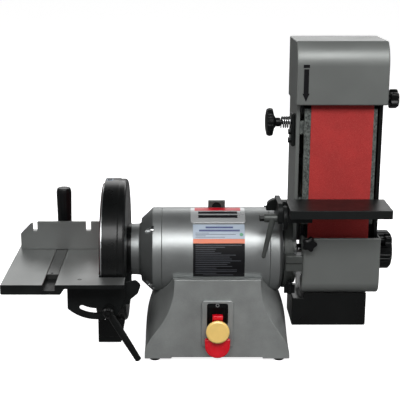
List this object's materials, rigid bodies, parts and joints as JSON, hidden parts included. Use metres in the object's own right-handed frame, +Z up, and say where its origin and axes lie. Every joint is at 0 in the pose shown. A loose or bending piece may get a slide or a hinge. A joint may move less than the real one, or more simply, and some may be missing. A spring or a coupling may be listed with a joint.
{
  "type": "belt disc sander",
  "caption": "Bench sanding machine: cast base, motor, vertical abrasive disc with tilting table and miter gauge on the left, upright abrasive belt arm with its own table on the right.",
  "frame": {"origin": "on the bench plane, below the centre of the whole machine's bounding box", "axes": "+Z up, +X from the disc end to the belt end along the motor axis, -Y towards the operator"},
  "size_m": [0.6456, 0.32, 0.536],
  "materials": {
    "silver_paint": "silver-grey metallic paint over cast iron, satin",
    "grey_paint": "smooth mid-grey paint on sheet steel, semi-gloss",
    "black_paint": "black powder coat on sheet steel, satin",
    "cast_black": "black painted casting, slightly rough",
    "machined_iron": "ground cast iron, semi-bright",
    "table_black": "black painted cast table, satin",
    "steel": "turned and ground steel",
    "disc_aluminium": "turned aluminium",
    "black_plastic": "moulded black plastic, satin",
    "abrasive": "red-brown abrasive grit on cloth",
    "graphite": "mottled grey graphite cloth",
    "paddle_red": "glossy red plastic",
    "key_yellow": "glossy yellow plastic",
    "rubber": "moulded black rubber",
    "motor_core": "varnished steel laminations and copper",
    "label": "coated label stock, plain blocks of colour",
    "badge": "brushed silver plate with a red stripe"
  },
  "bodies": {
    "base": {"base_casting": "silver_paint", "foot_front_left": "rubber", "foot_front_right": "rubber", "foot_rear_left": "rubber", "foot_rear_right": "rubber", "run_capacitor": "black_plastic", "cord_gland": "black_plastic", "motor_shell": "silver_paint", "left_end_bell": "silver_paint", "right_end_bell": "silver_paint", "stator_core": "motor_core", "left_bearing": "steel", "right_bearing": "steel", "top_lug": "black_paint", "name_badge": "badge", "rating_label": "label", "disc_guard": "cast_black", "disc_lower_cover": "black_paint", "table_bracket_front": "cast_black", "table_bracket_rear": "cast_black", "switch_body": "black_plastic"},
    "arbor": {"arbor_shaft": "steel", "rotor_core": "motor_core", "cooling_fan": "black_plastic", "disc_plate": "disc_aluminium", "abrasive_disc": "abrasive", "drive_drum": "steel"},
    "disc_table": {"disc_table": "machined_iron", "trunnion_front": "cast_black", "trunnion_rear": "cast_black"},
    "disc_table_lever": {"disc_table_lever": "black_paint"},
    "miter_bar": {"miter_bar": "steel"},
    "miter_head": {"miter_head": "machined_iron"},
    "miter_handle": {"miter_handle": "black_plastic"},
    "belt_arm": {"arm_collar": "cast_black", "clamp_bolt": "steel", "arm_frame": "grey_paint", "right_side_plate": "black_paint", "platen": "graphite", "sanding_belt": "abrasive", "upper_guard": "grey_paint", "lower_guard": "grey_paint", "belt_dust_chute": "black_paint", "hub_cap": "black_plastic", "tension_spring": "steel", "tracking_bracket": "cast_black", "tracking_spring": "steel", "table_support_arm": "cast_black"},
    "idler_carriage": {"idler_yoke": "steel"},
    "idler": {"idler_drum": "rubber"},
    "tracking_knob": {"tracking_knob": "black_plastic"},
    "guard_knob": {"guard_knob": "black_plastic"},
    "hub_knob": {"hub_knob": "black_plastic"},
    "cover_knob": {"cover_knob": "black_plastic"},
    "arm_lock_screw": {"arm_lock_screw": "black_plastic"},
    "belt_table": {"belt_table": "table_black", "belt_table_bracket": "cast_black"},
    "belt_table_lever": {"belt_table_lever": "cast_black"},
    "switch_paddle": {"switch_paddle": "paddle_red"},
    "safety_key": {"safety_key": "key_yellow"}
  },
  "joints": [
    {"name": "arbor_spin", "type": "hinge", "parent": "base", "child": "arbor", "pos_m": [0.02375, 0.007, 0.1743], "axis": [1, 0, 0], "continuous": true},
    {"name": "disc_table_tilt", "type": "hinge", "parent": "base", "child": "disc_table", "pos_m": [-0.17365, 0.007, 0.166], "axis": [0, -1, 0], "range_deg": [0, 45]},
    {"name": "disc_table_lever_turn", "type": "hinge", "parent": "base", "child": "disc_table_lever", "pos_m": [-0.15394, -0.138, 0.11465], "axis": [0, -1, 0], "range_deg": [-40, 60]},
    {"name": "miter_slide", "type": "slide", "parent": "disc_table", "child": "miter_bar", "axis": [0, 1, 0], "range_m": [-0.06, 0.06]},
    {"name": "miter_angle", "type": "hinge", "parent": "miter_bar", "child": "miter_head", "pos_m": [-0.24625, 0.04, 0.17], "axis": [0, 0, 1], "range_deg": [-45, 45]},
    {"name": "miter_handle_turn", "type": "hinge", "parent": "miter_bar", "child": "miter_handle", "pos_m": [-0.24625, 0.0823, 0.2], "axis": [0, 0, 1], "range_deg": [-180, 180]},
    {"name": "belt_arm_tilt", "type": "hinge", "parent": "base", "child": "belt_arm", "pos_m": [0.02375, 0.007, 0.1743], "axis": [-1, 0, 0], "range_deg": [0, 90]},
    {"name": "belt_tension", "type": "slide", "parent": "belt_arm", "child": "idler_carriage", "axis": [0, 0, -1], "range_m": [0, 0.008], "stiffness_N_per_m": 3000, "springref_m": -0.01, "deforming": ["tension_spring"]},
    {"name": "idler_spin", "type": "hinge", "parent": "idler_carriage", "child": "idler", "pos_m": [0.22475, 0.007, 0.4723], "axis": [1, 0, 0], "continuous": true},
    {"name": "tracking_turn", "type": "hinge", "parent": "belt_arm", "child": "tracking_knob", "pos_m": [0.12375, -0.018, 0.4013], "axis": [1, 0, 0], "range_deg": [-180, 180]},
    {"name": "guard_knob_turn", "type": "hinge", "parent": "belt_arm", "child": "guard_knob", "pos_m": [0.30875, -0.013, 0.4388], "axis": [1, 0, 0], "range_deg": [-180, 180]},
    {"name": "hub_knob_turn", "type": "hinge", "parent": "belt_arm", "child": "hub_knob", "pos_m": [0.30875, -0.033, 0.202], "axis": [1, 0, 0], "range_deg": [-180, 180]},
    {"name": "cover_knob_turn", "type": "hinge", "parent": "belt_arm", "child": "cover_knob", "pos_m": [0.17425, -0.068, 0.2067], "axis": [0, -1, 0], "range_deg": [-180, 180]},
    {"name": "arm_lock_turn", "type": "hinge", "parent": "belt_arm", "child": "arm_lock_screw", "pos_m": [0.14575, -0.051, 0.1293], "axis": [0, 0, 1], "range_deg": [-180, 180]},
    {"name": "belt_table_tilt", "type": "hinge", "parent": "belt_arm", "child": "belt_table", "pos_m": [0.13375, -0.081, 0.254], "axis": [1, 0, 0], "range_deg": [0, 45]},
    {"name": "belt_table_lever_turn", "type": "hinge", "parent": "belt_arm", "child": "belt_table_lever", "pos_m": [0.11175, -0.081, 0.254], "axis": [-1, 0, 0], "range_deg": [0, 75]},
    {"name": "switch_paddle_press", "type": "hinge", "parent": "base", "child": "switch_paddle", "pos_m": [0.02375, -0.077, 0.074], "axis": [-1, 0, 0], "range_deg": [0, 20], "stiffness_Nm_per_rad": 0.6},
    {"name": "safety_key_pull", "type": "slide", "parent": "switch_paddle", "child": "safety_key", "axis": [0, -1, 0], "range_m": [0, 0.012]}
  ],
  "couplings": [
    {"joint": "idler_spin", "follows": "arbor_spin", "ratio": 1}
  ]
}
